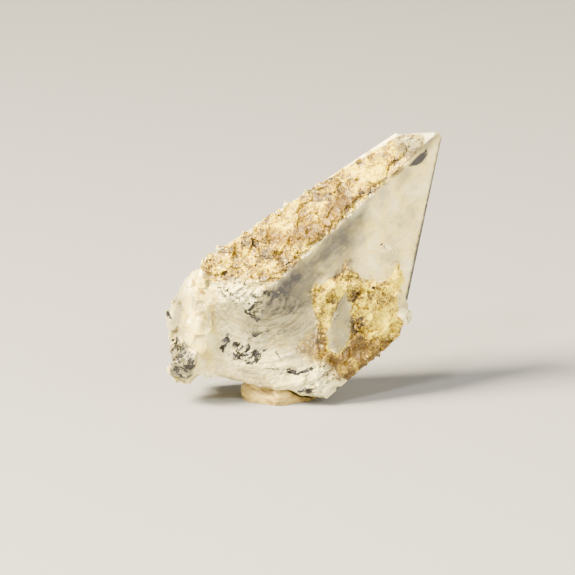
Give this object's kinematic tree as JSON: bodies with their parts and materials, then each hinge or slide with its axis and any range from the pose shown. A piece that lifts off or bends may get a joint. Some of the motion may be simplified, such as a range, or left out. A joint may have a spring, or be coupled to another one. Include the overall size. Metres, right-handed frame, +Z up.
{
  "type": "quartz crystal specimen",
  "caption": "Broken milky quartz crystal with a chisel-shaped end, crusts of small iron-stained crystals and a rippled break, propped on a lump of mounting putty.",
  "frame": {"origin": "centre of the bounding box's underside, where the putty's flat underside meets the surface it stands on", "axes": "+Z up as it stands; -Y towards the crusted front of the crystal; +X towards the side that the chisel-shaped end leans to"},
  "size_m": [0.0494, 0.0252, 0.0499],
  "materials": {
    "quartz": "vitreous",
    "putty": "matte"
  },
  "bodies": {
    "root": {"quartz_crystal": "quartz", "mounting_putty": "putty"}
  },
  "joints": []
}
